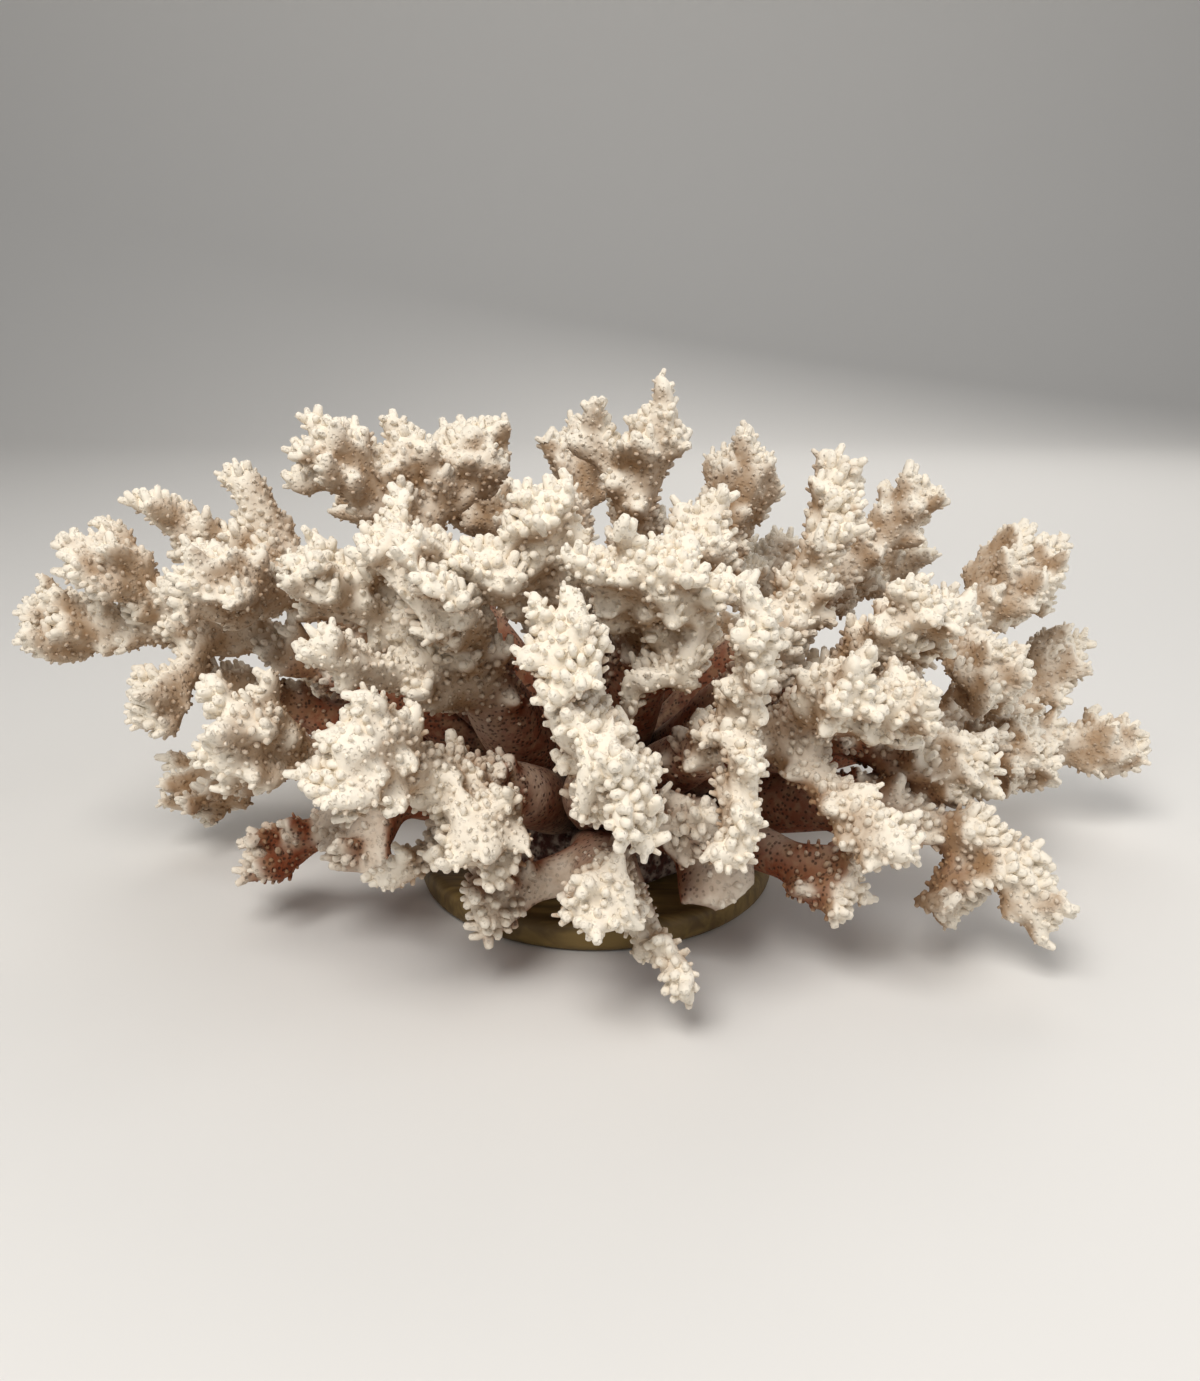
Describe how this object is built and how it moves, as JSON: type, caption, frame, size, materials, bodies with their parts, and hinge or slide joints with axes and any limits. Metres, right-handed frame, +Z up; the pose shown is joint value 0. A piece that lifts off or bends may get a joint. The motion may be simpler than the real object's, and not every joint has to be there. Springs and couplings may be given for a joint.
{
  "type": "branch coral",
  "caption": "Bleached branch coral colony with knobbly branches spreading from a short trunk, glued to a small round wooden disc that it stands on.",
  "frame": {"origin": "centre of the disc's underside, on the plane it stands on", "axes": "+Z up from the disc, +X to the right along the colony's width, +Y to its back"},
  "size_m": [0.32, 0.2215, 0.1382],
  "materials": {
    "coral": "matte, ivory tips with tan hollows",
    "coral_core": "matte, red-brown stain",
    "disc_wood": "satin, olive tan"
  },
  "bodies": {
    "root": {"base_disc": "disc_wood", "trunk": "coral_core", "left_arm": "coral", "left_shoulder": "coral", "top_left": "coral", "left_fan": "coral", "left_low": "coral", "left_front": "coral", "left_back_low": "coral", "star": "coral", "front_fan": "coral", "front_foot": "coral", "centre_blade": "coral", "upper_fan": "coral", "top_mid": "coral", "front_column": "coral", "front_right_low": "coral", "right_finger": "coral", "right_front": "coral", "right_top": "coral", "right_fan": "coral", "right_mid": "coral", "right_tip": "coral", "right_foot": "coral", "right_under": "coral", "back_right": "coral", "back_right_low": "coral", "back_mid": "coral", "back_top": "coral", "back_left": "coral", "back_left_low": "coral"}
  },
  "joints": []
}
